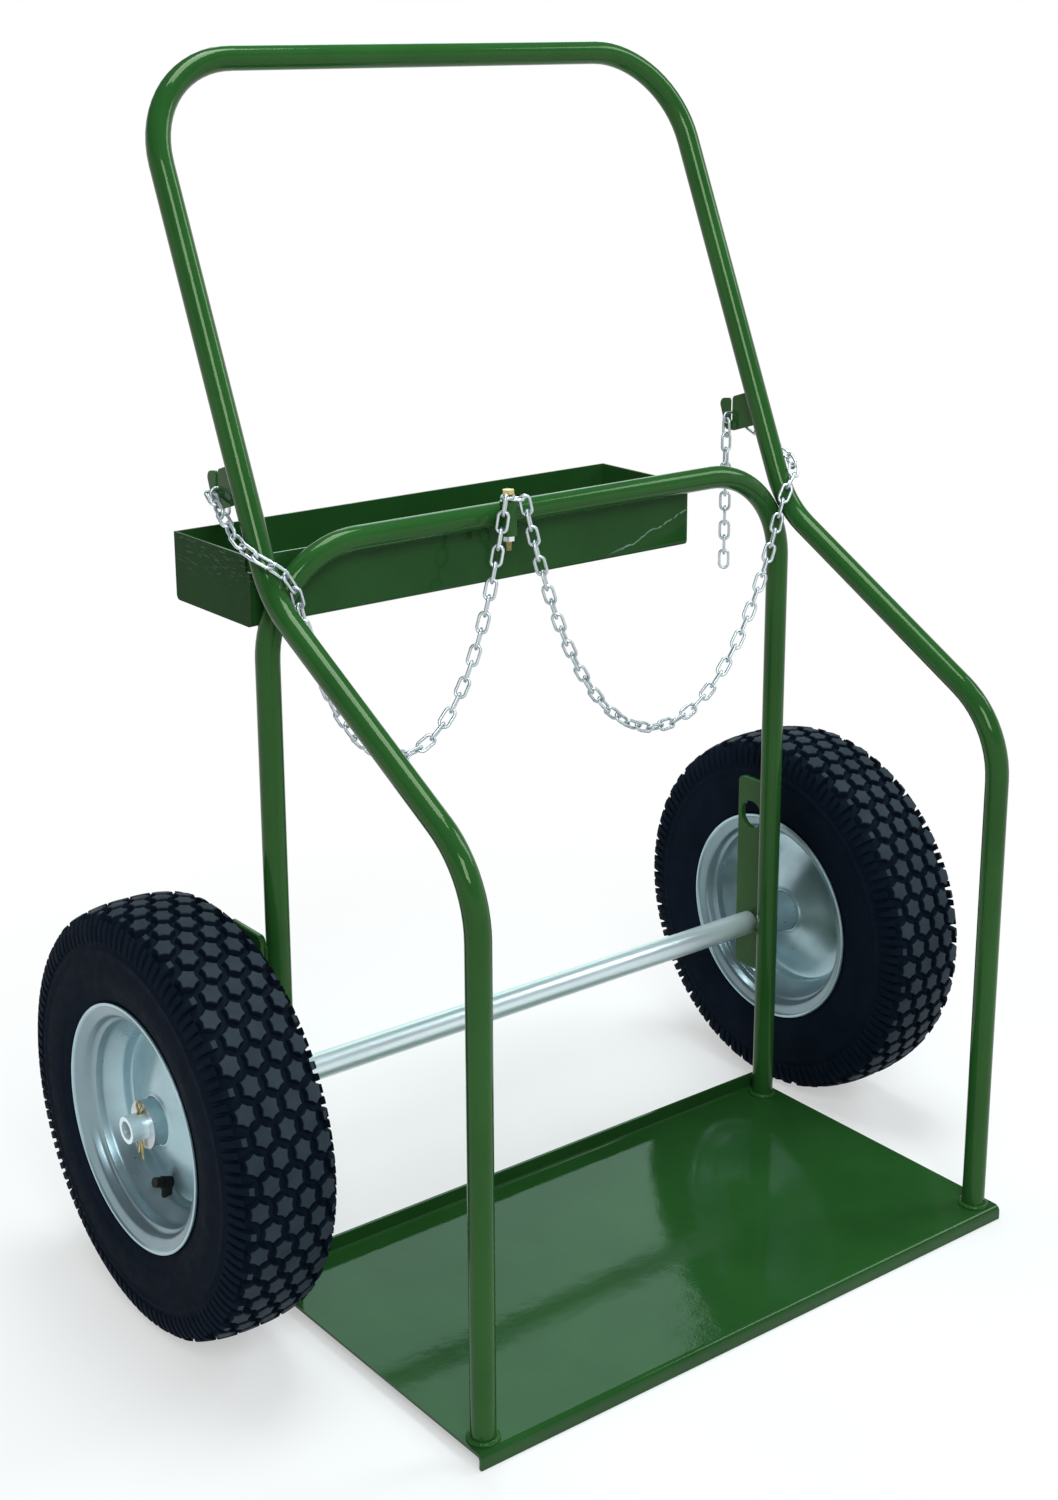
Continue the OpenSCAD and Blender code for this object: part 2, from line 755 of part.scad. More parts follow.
// Hanging chain of a given length from a to b, cut into n equal parts
function sag(width, length, near, far, n) =
    let (mid = (near + far) / 2)
    n == 0 ? mid
    : 2 * mid * sinh_of(width / (2 * mid)) > length ? sag(width, length, mid, far, n - 1)
    : sag(width, length, near, mid, n - 1);
function hanging(a, b, length, n) =
    let (across = [b.x - a.x, b.y - a.y, 0],
         width = norm(across),
         rise = b.z - a.z,
         s = sag(width, sqrt(length * length - rise * rise), width / 60, width * 9, 40),
         low = (width - s * ln((length + rise) / (length - rise))) / 2)
    [for (i = [0:n])
        let (x = low + s * asinh_of(i * length / n / s - sinh_of(low / s)))
        a + across * x / width + [0, 0, s * (cosh_of((x - low) / s) - cosh_of(low / s))]];

// Side tube's centreline from the start of its upper bend: [y, z] and the bend's inner normal
bend_len = bend_r * bend_upper * PI / 180;
function side_slope(s) = slope_lower + min(s / bend_len, 1) * bend_upper;
function side_normal(s) = [-sin(side_slope(s)), cos(side_slope(s))];
function side_place(s) = bend_centre - bend_r * side_normal(s)
    + max(s - bend_len, 0) * [cos(slope_upper), sin(slope_upper)];

// Path of a chain from its tab forward along the tube's outer side and round its front
wrap_room = 1.4;
wrap_lean = 0.4;
wrap_r = tube_r + link_r + wire / 2 + wrap_room;
wrap_start = bend_len + 20;
wrap_rise = 20;
wrap_end_turn = -75;
slot_play = 0.3;
function wrap_radial(side, turn, s) =
    [side * sin(turn), cos(turn) * side_normal(s).x, cos(turn) * side_normal(s).y];
function wrap_s(turn) = wrap_start - (90 - turn) * PI / 180 * wrap_rise;
function wrap_point(side, turn) =
    let (s = wrap_s(turn), c = side_place(s))
    [side * leg_x, c.x, c.y] + wrap_r * wrap_radial(side, turn, s);

seated_x = leg_x + tab_t / 2 + link_r + wire / 2 + seat_gap;
slot_y = leg_y + slot_back;
function seated_end(side) = [side * seated_x, slot_y, slot_z];
function slot_heading(side) = unit(seated_end(side) - wrap_point(side, 90));
function wrap_path(side) = concat(
    [seated_end(side) + (hook / 2 + slot_play) * slot_heading(side)],
    [for (turn = [90:-5:wrap_end_turn]) wrap_point(side, turn)],
    [wrap_point(side, wrap_end_turn) + link_span * [-side * wrap_lean, 0, -1]]
);

// End links under the bolt's head
anchor_reach = link_span - bolt_d / 2 - sleeve_fit / 2 - wire / 2;
bolt_y = hoop_y - tube_r - weld_gap - sleeve_od / 2;
sleeve_top = hoop_z + sleeve_len / 2;
function anchor_z(side) = sleeve_top + weld_gap + wire / 2 + (side < 0 ? wire + weld_gap : 0);
function anchor_heading(side) = [side * sin(anchor_turn), -cos(anchor_turn), 0];
function anchor_end(side) = [bolt_x, bolt_y, anchor_z(side)] + anchor_reach * anchor_heading(side);

// All joints of a chain from its tab to its end link
function wrap_joints(side) = march(wrap_path(side), wrap_path(side)[0], 0, pitch, wrap_links);
function loop_links(side) = side < 0 ? left_loop_links : right_loop_links;
function chain_joints(side) =
    let (wrap = wrap_joints(side),
         n = loop_links(side),
         loop = hanging(wrap[wrap_links], anchor_end(side) + [0, 0, hook / 2], n * pitch, n))
    concat(wrap, [for (i = [1:n]) loop[i]]);

// Side of each link carried along the chain from its tab without twist
function carried(joints, i, ref) =
    i == len(joints) - 1 ? []
    : let (r = square_to(ref, unit(joints[i + 1] - joints[i])))
      concat([r], carried(joints, i + 1, r));
function chain_refs(side) = carried(chain_joints(side), 0, [side, 0, 0]);

// Links turn by quarters, and the hanging part twists a little so that its last link hooks square
function quarter(i) = 90 * ((i + 1) % 2);
function chain_rolls(side) =
    let (joints = chain_joints(side),
         n = loop_links(side),
         last = wrap_links + n - 1,
         d = unit(joints[last + 1] - joints[last]),
         now = turned(chain_refs(side)[last], d, quarter(last)),
         hooked = square_to([cos(anchor_turn), side * sin(anchor_turn), 0], d),
         miss = atan2(cross(now, hooked) * d, now * hooked),
         twist = miss > 90 ? miss - 180 : miss < -90 ? miss + 180 : miss)
    [for (i = [0:last]) quarter(i) + twist * max(0, i - wrap_links + 1) / n];

module chain_wrap(side) {
    color(zinc) {
        chain_run(chain_joints(side), chain_refs(side), chain_rolls(side), 0, wrap_links);
        placed_link([side * (seated_x - link_span / 2), slot_y, slot_z], [side, 0, 0], [0, 1, 0]);
        if (side < 0) chain_tail(side, 1);
    }
}

module chain_loop(side) {
    color(zinc) chain_run(chain_joints(side), chain_refs(side), chain_rolls(side),
        wrap_links, wrap_links + loop_links(side));
}

module chain_anchor(side) {
    middle = anchor_end(side) - link_span / 2 * anchor_heading(side);
    color(zinc) placed_link(middle, anchor_heading(side), [0, 0, 1]);
}

// Links that hang from the inner end of a seated link, turning a little over the first few
tail_turn = 45;
tail_turn_links = 4;
module chain_tail(side, count) {
    rest = (link_r - hook) / sqrt(2);
    top = [side * (seated_x - link_span + link_r - rest), slot_y, slot_z - rest];
    joints = [for (i = [0:count]) top - [0, 0, hook / 2 + i * pitch]];
    rolls = [for (i = [0:count - 1]) 90 * (i % 2) + tail_turn * min(1, i / tail_turn_links)];
    color(zinc) chain_run(joints, [for (i = [0:count - 1]) [1, 0, 0]], rolls, 0, count);
}

// Slotted tab on the rear of a side tube
module chain_tab(side) {
    low = slot_z - tab_down;
    high = slot_z + tab_up;
    corner = tab_rear / 2;
    front = upper_knee.x;
    rear = slot_y + tab_rear;
    slot_w = wire + 2 * slot_room;
    slot_low = slot_z - link_r - wire / 2 - seat_gap;
    color(enamel) across(side * leg_x, tab_t) difference() {
        union() {
            translate([front, low]) square([rear - front, high - low - corner]);
            translate([front, low]) square([rear - front - corner, high - low]);
            translate([rear - corner, high - corner]) circle(corner);
        }
        translate(upper_knee) rotate(slope_upper)
            translate([-handle_z, -tube_r - weld_gap]) square([2 * handle_z, handle_z]);
        translate([slot_y - slot_w / 2, slot_low + slot_w / 2]) square([slot_w, high - low]);
        translate([slot_y, slot_low + slot_w / 2]) circle(d = slot_w);
    }
}

// Bolt that holds both chains, in a sleeve on the front of the hoop bar

head_low = anchor_z(-1) + wire / 2 + weld_gap;

module chain_bolt_sleeve() {
    color(enamel) translate([bolt_x, bolt_y, hoop_z]) linear_extrude(sleeve_len, center = true)
        stock_ring(sleeve_od, sleeve_od / 2 - bolt_d / 2 - sleeve_fit);
}

module chain_bolt() {
    end = hoop_z - sleeve_len / 2 - weld_gap - nut_h - bolt_tail;
    color(yellow_zinc) translate([bolt_x, bolt_y, 0]) {
        translate([0, 0, end]) cylinder(d = bolt_d, h = head_low - end);
        translate([0, 0, head_low]) cylinder(d = bolt_flats / cos(30), h = bolt_head, $fn = 6);
    }
}

module chain_nut() {
    top = hoop_z - sleeve_len / 2 - weld_gap;
    color(zinc) translate([bolt_x, bolt_y, top - nut_h]) linear_extrude(nut_h) difference() {
        circle(d = bolt_flats / cos(30), $fn = 6);
        circle(d = bolt_d + 2 * axle_fit);
    }
}

base_plate();
handle_frame();
rear_hoop();
tool_tray();
tray_end_left();
tray_end_right();
axle();
axle_bracket(-1);  // left_axle_bracket
axle_bracket(1);  // right_axle_bracket
wheel_washer(-1);  // left_wheel_washer
wheel_washer(1);  // right_wheel_washer
cotter_pin(-1);  // left_cotter_pin
cotter_pin(1);  // right_cotter_pin
tyre(-1);  // left_tyre
inner_tube(-1);  // left_inner_tube
rim(-1);  // left_rim
hub(-1);  // left_hub
roller_cages(-1);  // left_roller_cages
rollers(-1);  // left_rollers
valve_stem(-1);  // left_valve_stem
valve_cap(-1);  // left_valve_cap
tyre(1);  // right_tyre
inner_tube(1);  // right_inner_tube
rim(1);  // right_rim
hub(1);  // right_hub
roller_cages(1);  // right_roller_cages
rollers(1);  // right_rollers
valve_stem(1);  // right_valve_stem
valve_cap(1);  // right_valve_cap
chain_tab(-1);  // left_chain_tab
chain_tab(1);  // right_chain_tab
chain_bolt_sleeve();
chain_bolt();
chain_nut();
chain_anchor(-1);  // left_chain_anchor
chain_anchor(1);  // right_chain_anchor
chain_wrap(-1);  // left_chain_wrap
chain_wrap(1);  // right_chain_wrap
chain_loop(-1);  // left_chain_loop
chain_loop(1);  // right_chain_loop
chain_tail(1, tail_links);  // right_chain_tail
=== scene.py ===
"""Looks of the gas cylinder trolley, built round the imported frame."""

import json
import math

import bmesh
import bpy
from mathutils import Matrix, Vector


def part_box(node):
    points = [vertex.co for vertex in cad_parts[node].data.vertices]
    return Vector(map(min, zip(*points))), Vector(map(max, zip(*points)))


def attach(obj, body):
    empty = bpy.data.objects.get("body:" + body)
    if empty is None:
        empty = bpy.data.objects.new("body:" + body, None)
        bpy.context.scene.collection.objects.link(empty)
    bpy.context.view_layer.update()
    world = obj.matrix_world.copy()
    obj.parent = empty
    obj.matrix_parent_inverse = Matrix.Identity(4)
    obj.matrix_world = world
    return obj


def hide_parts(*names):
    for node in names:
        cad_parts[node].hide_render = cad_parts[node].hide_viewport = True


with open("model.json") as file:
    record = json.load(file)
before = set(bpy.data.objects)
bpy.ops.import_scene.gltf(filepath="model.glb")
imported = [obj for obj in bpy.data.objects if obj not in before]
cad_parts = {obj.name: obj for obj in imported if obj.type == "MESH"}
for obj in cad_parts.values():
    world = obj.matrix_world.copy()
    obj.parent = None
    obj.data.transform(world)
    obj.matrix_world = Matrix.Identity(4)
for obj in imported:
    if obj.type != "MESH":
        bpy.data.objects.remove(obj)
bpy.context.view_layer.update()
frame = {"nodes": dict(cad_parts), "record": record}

SIDES = ((-1, "left"), (1, "right"))
MM_PER_M = 1000

# Sizes that agree with the part's source, in metres
TUBE_R = 0.0111
LEG_X, LEG_Y = 0.305, -0.260
HOOP_Y = 0.040
PLATE_TOP = 0.014
UPPER_KNEE = (0.030, 0.676)  # y and z of the bend where a side tube turns up to the handle
UPPER_SLOPE = math.radians(66.35)
AXLE_Y, AXLE_Z = 0.080, 0.200
WHEEL_X = 0.392
BOLT_X, BOLT_Y = -0.057, 0.0208
BRACKET_X, BRACKET_T = 0.3192, 0.0060
LIFTING_HOLE_Z = 0.325
TAB_T = 0.0030
SLOT_Y, SLOT_LOW = 0.1120, 0.7487
COTTER_X = 0.4311

# Front edge of the axle brackets as the photo suggests it; the solids start further forward
BRACKET_FRONT = 0.0420

# Camera fitted to the photograph, for an image of 1058 x 1500
IMAGE_W, IMAGE_H = 1058, 1500
FOCAL_PX = 2191.46
CENTRE_PX = (508.19, 642.10)
CAMERA_AT = (-1.24598, -1.52664, 1.14379)
YAW, PITCH, ROLL = math.radians(37.510), math.radians(15.666), math.radians(-0.358)
SENSOR_MM = 36.0
CLIP = (0.05, 200.0)


def linked(name, data):
    """A new object in the scene."""
    made = bpy.data.objects.new(name, data)
    bpy.context.scene.collection.objects.link(made)
    return made


def make_camera():
    data = bpy.data.cameras.new("camera")
    data.sensor_fit = "VERTICAL"
    data.sensor_height = SENSOR_MM
    data.lens = FOCAL_PX * SENSOR_MM / IMAGE_H
    data.shift_x = (IMAGE_W / 2 - CENTRE_PX[0]) / IMAGE_H
    data.shift_y = (CENTRE_PX[1] - IMAGE_H / 2) / IMAGE_H
    data.clip_start, data.clip_end = CLIP
    camera = linked("camera", data)
    ahead = Vector((math.sin(YAW) * math.cos(PITCH),
                    math.cos(YAW) * math.cos(PITCH),
                    -math.sin(PITCH)))
    level = Vector((math.cos(YAW), -math.sin(YAW), 0.0))
    above = level.cross(ahead)
    right = math.cos(ROLL) * level + math.sin(ROLL) * above
    up = math.cos(ROLL) * above - math.sin(ROLL) * level
    turn = Matrix((right, up, -ahead)).transposed().to_4x4()
    camera.matrix_world = Matrix.Translation(CAMERA_AT) @ turn
    bpy.context.scene.camera = camera


# Materials

GREEN_DARK, GREEN_LIGHT = (0.0165, 0.0735, 0.0160), (0.0225, 0.0950, 0.0210)
GREEN_DUST = (0.10, 0.16, 0.11, 1.0)
GREEN_WORN = (0.20, 0.30, 0.23, 1.0)
SILVER_DARK, SILVER_LIGHT = (0.37, 0.525, 0.575), (0.48, 0.655, 0.710)
SILVER_SMUDGE = (0.28, 0.37, 0.41, 1.0)
# Painted shade darkens the rim's wall inside the lip towards this colour
SILVER_WALL_SHADE = (0.150, 0.205, 0.232, 1.0)
STEEL_DARK, STEEL_LIGHT = (0.030, 0.034, 0.040), (0.060, 0.066, 0.074)
RUBBER_DUST = (0.030, 0.036, 0.045, 1.0)
WHITE = (1.0, 1.0, 1.0, 1.0)

# The scratch across the tray's right end runs along z = slope * x + rise
SCRATCH_SLOPE, SCRATCH_RISE, SCRATCH_WANDER = 0.333, 0.6204, 0.014
SCRATCH_EDGE = (0.0012, 0.0002)
SCRATCH_X, SCRATCH_Y = (0.085, 0.110), (0.062, 0.056)
# Fine strokes on the tray's left end, fading towards its lower edge
HATCH_SCALE, HATCH_TURN = (1.0, 90.0, 620.0), (0.9, 0.0, 0.0)
HATCH_X, HATCH_Z, HATCH_SHARE = (-0.30, -0.311), (0.672, 0.694), 0.28
# Distances from the axle between which shade is painted on the rim's wall
WALL_SHADE_FROM, WALL_SHADE_TO = (0.083, 0.099), (0.1125, 0.1105)
THREAD_FADE = 0.0005


class Graph:
    """A material and short ways to add its nodes."""

    def __init__(self, name):
        self.material = bpy.data.materials.new(name)
        self.material.use_nodes = True
        self.tree = self.material.node_tree
        self.shader = self.tree.nodes["Principled BSDF"]
        self.place = self.node("TexCoord").outputs["Object"]

    def link(self, a, b):
        self.tree.links.new(a, b)

    def feed(self, socket, value):
        if isinstance(value, bpy.types.NodeSocket):
            self.link(value, socket)
        else:
            socket.default_value = value

    def fill(self, node, values):
        for name, value in values.items():
            self.feed(node.inputs[name.replace("_", " ")], value)

    def set(self, **values):
        self.fill(self.shader, values)

    def node(self, kind, **values):
        node = self.tree.nodes.new("ShaderNode" + kind)
        self.fill(node, values)
        return node

    def stretched(self, scale, turn=(0.0, 0.0, 0.0)):
        node = self.node("Mapping", Scale=scale, Rotation=turn, Vector=self.place)
        return node.outputs["Vector"]

    def noise(self, scale, detail=3.0, rough=0.55, place=None):
        node = self.node("TexNoise", Scale=scale, Detail=detail, Roughness=rough,
                         Vector=place or self.place)
        return node.outputs["Fac"]

    def ramp(self, fac, stops):
        node = self.node("ValToRGB", Fac=fac)
        for element, (at, colour) in zip(node.color_ramp.elements, stops):
            element.position = at
            element.color = (*colour, 1.0)
        return node.outputs["Color"]

    def span(self, fac, low, high, to_low=0.0, to_high=1.0):
        node = self.node("MapRange", Value=fac, From_Min=low, From_Max=high,
                         To_Min=to_low, To_Max=to_high)
        return node.outputs["Result"]

    def math(self, kind, a, b=0.0):
        node = self.node("Math")
        node.operation = kind
        self.feed(node.inputs[0], a)
        self.feed(node.inputs[1], b)
        return node.outputs["Value"]

    def times(self, a, b):
        return self.math("MULTIPLY", a, b)

    def mix(self, fac, a, b):
        node = self.node("Mix")
        node.data_type = "RGBA"
        self.fill(node, {"Factor": fac, "A": a, "B": b})
        return node.outputs["Result"]

    def axis(self, letter):
        return self.node("SeparateXYZ", Vector=self.place).outputs[letter]

    def bump(self, height, strength, distance, below=None):
        node = self.node("Bump", Strength=strength, Distance=distance, Height=height)
        if below:
            self.link(below, node.inputs["Normal"])
        return node.outputs["Normal"]


def scuffs(g):
    """How far the tray's paint is worn: one wandering scratch and a hatched end."""
    x, y, z = g.axis("X"), g.axis("Y"), g.axis("Z")
    wander = g.times(g.math("SUBTRACT", g.noise(38.0, 2.0, 0.5), 0.5), SCRATCH_WANDER)
    line = g.math("ADD", g.times(x, SCRATCH_SLOPE), SCRATCH_RISE)
    away = g.math("ABSOLUTE", g.math("SUBTRACT", z, g.math("ADD", line, wander)))
    where = g.times(g.span(x, *SCRATCH_X), g.span(y, *SCRATCH_Y))
    broken = g.span(g.noise(160.0), 0.38, 0.52)
    scratch = g.times(g.span(away, *SCRATCH_EDGE), g.times(where, broken))
    strokes = g.noise(1.0, 2.0, 0.5, g.stretched(HATCH_SCALE, HATCH_TURN))
    hatch = g.times(g.span(z, *HATCH_Z), g.span(strokes, 0.60, 0.68))
    end = g.times(g.span(x, *HATCH_X), hatch)
    return g.math("MAXIMUM", scratch, g.times(end, HATCH_SHARE))


def enamel(name, gloss, painted_shade_tone=1.0, tint=WHITE, scuffed=False):
    """Glossy green paint with faint clouds, dust and orange peel, darkened as painted shade when
    the factor is below 1.
    """
    g = Graph(name)
    # A factor below 1 is painted shade: it darkens a copy of the same green paint for a part that
    # lies in shade.
    dark, light = [[painted_shade_tone * v for v in shade] for shade in (GREEN_DARK, GREEN_LIGHT)]
    colour = g.ramp(g.noise(9.0, 4.0), [(0.30, dark), (0.72, light)])
    rough = g.span(g.noise(26.0, 5.0, 0.62), 0.35, 0.75, 0.05, 0.11)
    dust = g.span(g.noise(70.0, 6.0, 0.7), 0.66, 0.80)
    colour = g.mix(g.times(dust, 0.08), colour, GREEN_DUST)
    if scuffed:
        worn = scuffs(g)
        colour = g.mix(worn, colour, GREEN_WORN)
        rough = g.math("ADD", rough, g.times(worn, 0.3))
    peel = g.bump(g.noise(420.0, 2.0, 0.5), 0.06, 0.0006)
    normal = g.bump(g.noise(34.0, 2.0, 0.5), 0.05, 0.004, peel)
    g.set(Base_Color=colour, Roughness=rough, Normal=normal)
    g.set(Specular_IOR_Level=gloss, Specular_Tint=tint)
    return g.material


def plated(name, low, high, rough, scale=(1.0, 1.0, 1.0), thread=None, metal=1.0):
    """Zinc plate; a thread is given by the height of its top and its pitch."""
    g = Graph(name)
    place = g.stretched(scale)
    colour = g.ramp(g.noise(60.0, 5.0, 0.6, place), [(0.3, low), (0.7, high)])
    dull = g.span(g.noise(150.0, 5.0, 0.65, place), 0.3, 0.7, *rough)
    normal = g.bump(g.noise(500.0, 3.0, 0.6, place), 0.05, 0.0002)
    if thread:
        top, pitch = thread
        z = g.axis("Z")
        wave = g.math("SINE", g.times(z, 2 * math.pi / pitch))
        height = g.times(wave, g.span(z, top, top - THREAD_FADE))
        normal = g.bump(height, 0.9, pitch / 3, normal)
    g.set(Base_Color=colour, Roughness=dull, Normal=normal, Metallic=metal)
    return g.material


def silver_paint(name):
    """Paint of the rims, smudged, with painted shade on the wall inside the lip."""
    g = Graph(name)
    colour = g.ramp(g.noise(22.0, 4.0, 0.6), [(0.28, SILVER_DARK), (0.75, SILVER_LIGHT)])
    smudge = g.span(g.noise(11.0, 5.0, 0.65, g.stretched((0.4, 1.0, 1.0))), 0.48, 0.72)
    colour = g.mix(g.times(smudge, 0.30), colour, SILVER_SMUDGE)
    y = g.math("SUBTRACT", g.axis("Y"), AXLE_Y)
    z = g.math("SUBTRACT", g.axis("Z"), AXLE_Z)
    reach = g.math("SQRT", g.math("ADD", g.times(y, y), g.times(z, z)))
    # Painted shade on the wall inside the lip
    wall = g.times(g.span(reach, *WALL_SHADE_FROM), g.span(reach, *WALL_SHADE_TO))
    colour = g.mix(g.times(wall, 0.72), colour, SILVER_WALL_SHADE)
    rough = g.span(g.noise(60.0, 4.0), 0.3, 0.7, 0.27, 0.37)
    waves = g.bump(g.noise(60.0, 2.0), 0.02, 0.0008)
    normal = g.bump(g.noise(500.0, 2.0), 0.012, 0.0003, waves)
    g.set(Base_Color=colour, Roughness=rough, Normal=normal)
    g.set(Metallic=0.70, Coat_Weight=0.15, Coat_Roughness=0.2)
    return g.material


def dark_paint(name):
    g = Graph(name)
    colour = g.ramp(g.noise(45.0, 5.0, 0.65), [(0.3, STEEL_DARK), (0.7, STEEL_LIGHT)])
    rough = g.span(g.noise(120.0, 4.0), 0.3, 0.7, 0.32, 0.52)
    normal = g.bump(g.noise(500.0), 0.10, 0.0005)
    g.set(Base_Color=colour, Roughness=rough, Normal=normal, Metallic=0.35)
    return g.material


def black_rubber(name, low, high, rough, dusty, gloss=0.11):
    g = Graph(name)
    colour = g.ramp(g.noise(30.0, 5.0, 0.65), [(0.3, low), (0.72, high)])
    dust = g.span(g.noise(55.0, 7.0, 0.72), 0.55, 0.80)
    colour = g.mix(g.times(dust, dusty), colour, RUBBER_DUST)
    dull = g.span(g.noise(90.0, 5.0), 0.3, 0.7, *rough)
    grain = g.bump(g.noise(1300.0, 3.0, 0.6), 0.16, 0.0004)
    normal = g.bump(g.noise(120.0, 4.0, 0.6), 0.10, 0.0012, grain)
    g.set(Base_Color=colour, Roughness=dull, Normal=normal, Specular_IOR_Level=gloss)
    return g.material


# Meshes

def new_object(name, mesh, material, body):
    mesh.materials.clear()
    mesh.materials.append(material)
    piece = linked(name, mesh)
    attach(piece, body)
    return piece


def mesh_of(name, verts, faces, smooth_angle):
    """A mesh that is smooth except at edges sharper than the angle, in degrees."""
    mesh = bpy.data.meshes.new(name)
    mesh.from_pydata(verts, [], faces)
    mesh.validate()
    bm = bmesh.new()
    bm.from_mesh(mesh)
    bmesh.ops.recalc_face_normals(bm, faces=bm.faces)
    limit = math.radians(smooth_angle)
    for face in bm.faces:
        face.smooth = True
    for edge in bm.edges:
        edge.smooth = len(edge.link_faces) == 2 and edge.calc_face_angle(0.0) < limit
    bm.to_mesh(mesh)
    bm.free()
    return mesh


def joined(parts):
    verts, faces = [], []
    for v, f in parts:
        start = len(verts)
        verts += v
        faces += [tuple(start + i for i in face) for face in f]
    return verts, faces


# Weld beads

RIPPLE, RIPPLE_PITCH, RIPPLE_MEAN = 0.22, 0.0032, 0.6
BEAD_SIDES, BEAD_STEP = 10, 0.0009
BEAD_SMOOTH = 80
END_SIZE, END_POINTS = 0.35, 3  # size of a bead's end and the points over which it grows
ASKEW = Vector((0.13, 0.29, 0.95))  # a direction that no bead runs along
RING_POINTS = 40

# Round the tubes' feet, then along the brackets
FOOT_R, FOOT_UP, FOOT_OUT = 0.0026, 0.0009, 0.0010
SEAM_R, SEAM_Z = 0.0021, (0.156, 0.357)
SEAM_XY = ((0.3163, BRACKET_FRONT), (0.3149, HOOP_Y + 0.0058))
# Beside the chain tabs, from and to along the tube from its bend
THIN_R = 0.0019
TAB_SEAM_DX, TAB_SEAM = 0.0025, (0.090, 0.119)
# Between the bar and the tray, then beside the chain bolt's sleeve
STITCH_X, STITCH_LONG = (-0.245, -0.115, 0.020, 0.140), 0.026
STITCH_Y, STITCH_Z = HOOP_Y + 0.0114, 0.7105
SLEEVE_DX, SLEEVE_DY, SLEEVE_Z = 0.0046, 0.0072, (0.7065, 0.7215)


def sweep(points, radius, closed, ripple=RIPPLE, sides=BEAD_SIDES):
    """A bead with a rippled section along a line of points."""
    fine = []
    count = len(points) if closed else len(points) - 1
    for i in range(count):
        a, b = Vector(points[i]), Vector(points[(i + 1) % len(points)])
        parts = max(1, round((b - a).length / BEAD_STEP))
        fine += [a.lerp(b, k / parts) for k in range(parts)]
    if not closed:
        fine.append(Vector(points[-1]))
    verts, faces, run = [], [], 0.0
    total = len(fine)
    for i, p in enumerate(fine):
        before = fine[i - 1] if closed or i > 0 else p
        after = fine[(i + 1) % total] if closed or i < total - 1 else p
        along = (after - before).normalized()
        run += (p - fine[i - 1]).length if i else 0.0
        side = along.cross(ASKEW).normalized()
        up = side.cross(along)
        wave = abs(math.sin(math.pi * run / RIPPLE_PITCH)) - RIPPLE_MEAN
        size = radius * (1.0 + ripple * wave)
        if not closed:
            from_end = min(i, total - 1 - i) / END_POINTS
            size *= min(1.0, END_SIZE + (1.0 - END_SIZE) * from_end)
        for k in range(sides):
            a = 2 * math.pi * k / sides
            verts.append(p + size * (math.cos(a) * side + math.sin(a) * up))
    for i in range(total if closed else total - 1):
        j = (i + 1) % total
        for k in range(sides):
            m = (k + 1) % sides
            faces.append((i * sides + k, j * sides + k, j * sides + m, i * sides + m))
    if not closed:
        faces.append(tuple(range(sides)))
        faces.append(tuple((total - 1) * sides + k for k in reversed(range(sides))))
    return verts, faces


def ring_points(centre, radius):
    x, y, z = centre
    angles = [2 * math.pi * k / RING_POINTS for k in range(RING_POINTS)]
    return [(x + radius * math.cos(a), y + radius * math.sin(a), z) for a in angles]


def tab_seam(x):
    """A line along the rear of a side tube, beside its chain tab."""
    dy, dz = math.cos(UPPER_SLOPE), math.sin(UPPER_SLOPE)
    y, z = UPPER_KNEE
    return [(x, y + t * dy + TUBE_R * dz, z + t * dz - TUBE_R * dy) for t in TAB_SEAM]


def make_beads(name, sweeps, material):
    verts, faces = joined(sweeps)
    mesh = mesh_of(name, verts, faces, BEAD_SMOOTH)
    new_object(name, mesh, material, "frame")


def weld_beads(material):
    for side, word in SIDES:
        leg = side * LEG_X
        rings = [ring_points((leg, y, PLATE_TOP + FOOT_UP), TUBE_R + FOOT_OUT)
                 for y in (LEG_Y, HOOP_Y)]
        seams = [[(side * x, y, z) for z in SEAM_Z] for x, y in SEAM_XY]
        tabs = [tab_seam(leg + dx) for dx in (-TAB_SEAM_DX, TAB_SEAM_DX)]
        sweeps = [sweep(ring, FOOT_R, True) for ring in rings]
        sweeps += [sweep(line, SEAM_R, False) for line in seams]
        sweeps += [sweep(line, THIN_R, False) for line in tabs]
        make_beads(word + "_weld_beads", sweeps, material)
    lines = [[(x, STITCH_Y, STITCH_Z), (x + STITCH_LONG, STITCH_Y, STITCH_Z)] for x in STITCH_X]
    lines += [[(BOLT_X + dx, BOLT_Y + SLEEVE_DY, z) for z in SLEEVE_Z]
              for dx in (-SLEEVE_DX, SLEEVE_DX)]
    make_beads("bar_weld_beads", [sweep(line, THIN_R, False) for line in lines], material)


# Axle brackets, chain tabs and split pins

SOFT_EDGE, SLOT_EDGE = 0.0006, 0.0004
EDGE_STEPS = 2
CORNER_R, CORNER_STEPS, HOLE_STEPS = 0.006, 6, 48
# Radii of the holes before the soft edge narrows them
AXLE_HOLE_R, LIFTING_HOLE_R = 0.0131, 0.0156

# The tab's outline in [y, z] pairs, from its top edge at the tube round to its lower edge
SLOT_HALF, SLOT_TOP = 0.0024, (0.7745, 0.7722)
TAB_TOP = [(0.0890, 0.7830), (0.1080, 0.7768)]
TAB_LIP = [(0.1160, 0.7738), (0.1210, 0.7732)]
TAB_NOSE, TAB_NOSE_R = (0.1218, 0.7672), 0.006
TAB_FRONT = [(0.1204, 0.7450)]
TAB_CHIN, TAB_CHIN_R = (0.1172, 0.7450), 0.0032
TAB_LOW = [(0.1070, 0.7418), (0.0760, 0.7520)]

